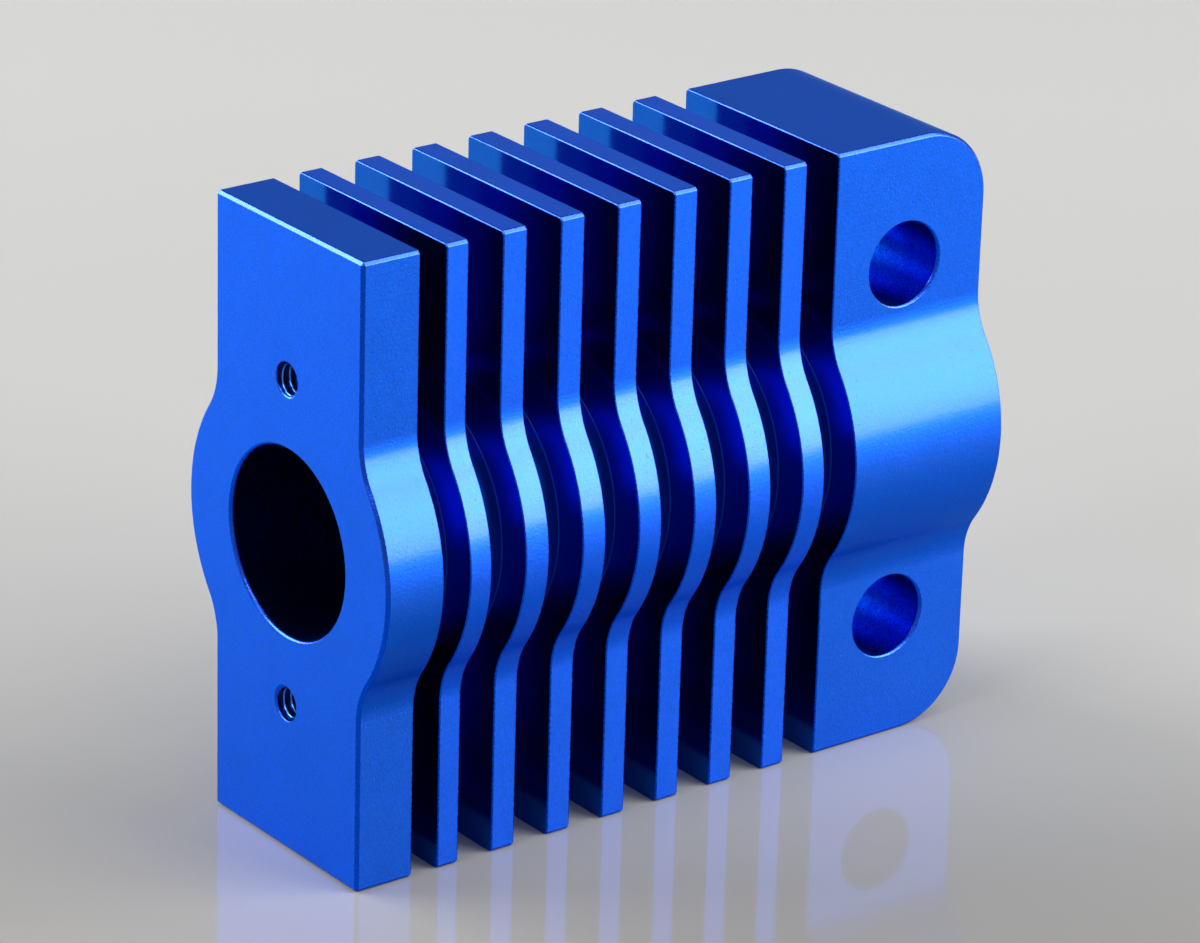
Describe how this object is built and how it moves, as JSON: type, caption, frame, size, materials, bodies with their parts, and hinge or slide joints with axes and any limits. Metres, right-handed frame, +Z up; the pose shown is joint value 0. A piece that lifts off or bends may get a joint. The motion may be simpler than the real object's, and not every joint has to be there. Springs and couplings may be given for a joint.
{
  "type": "heatsink",
  "caption": "Finned aluminium heatsink with a round swelling, a through bore, tapped end holes and a mounting block with cross holes.",
  "frame": {"origin": "middle of the base that the end plate, fins and block stand on, half way along the bore and half way across the plate", "axes": "+X along the bore from the thin end plate to the thick block, +Y across the plate, +Z up"},
  "size_m": [0.057, 0.0254, 0.0485],
  "materials": {
    "anodised_aluminium": "blue anodised, satin"
  },
  "bodies": {
    "root": {"heatsink": "anodised_aluminium"}
  },
  "joints": []
}
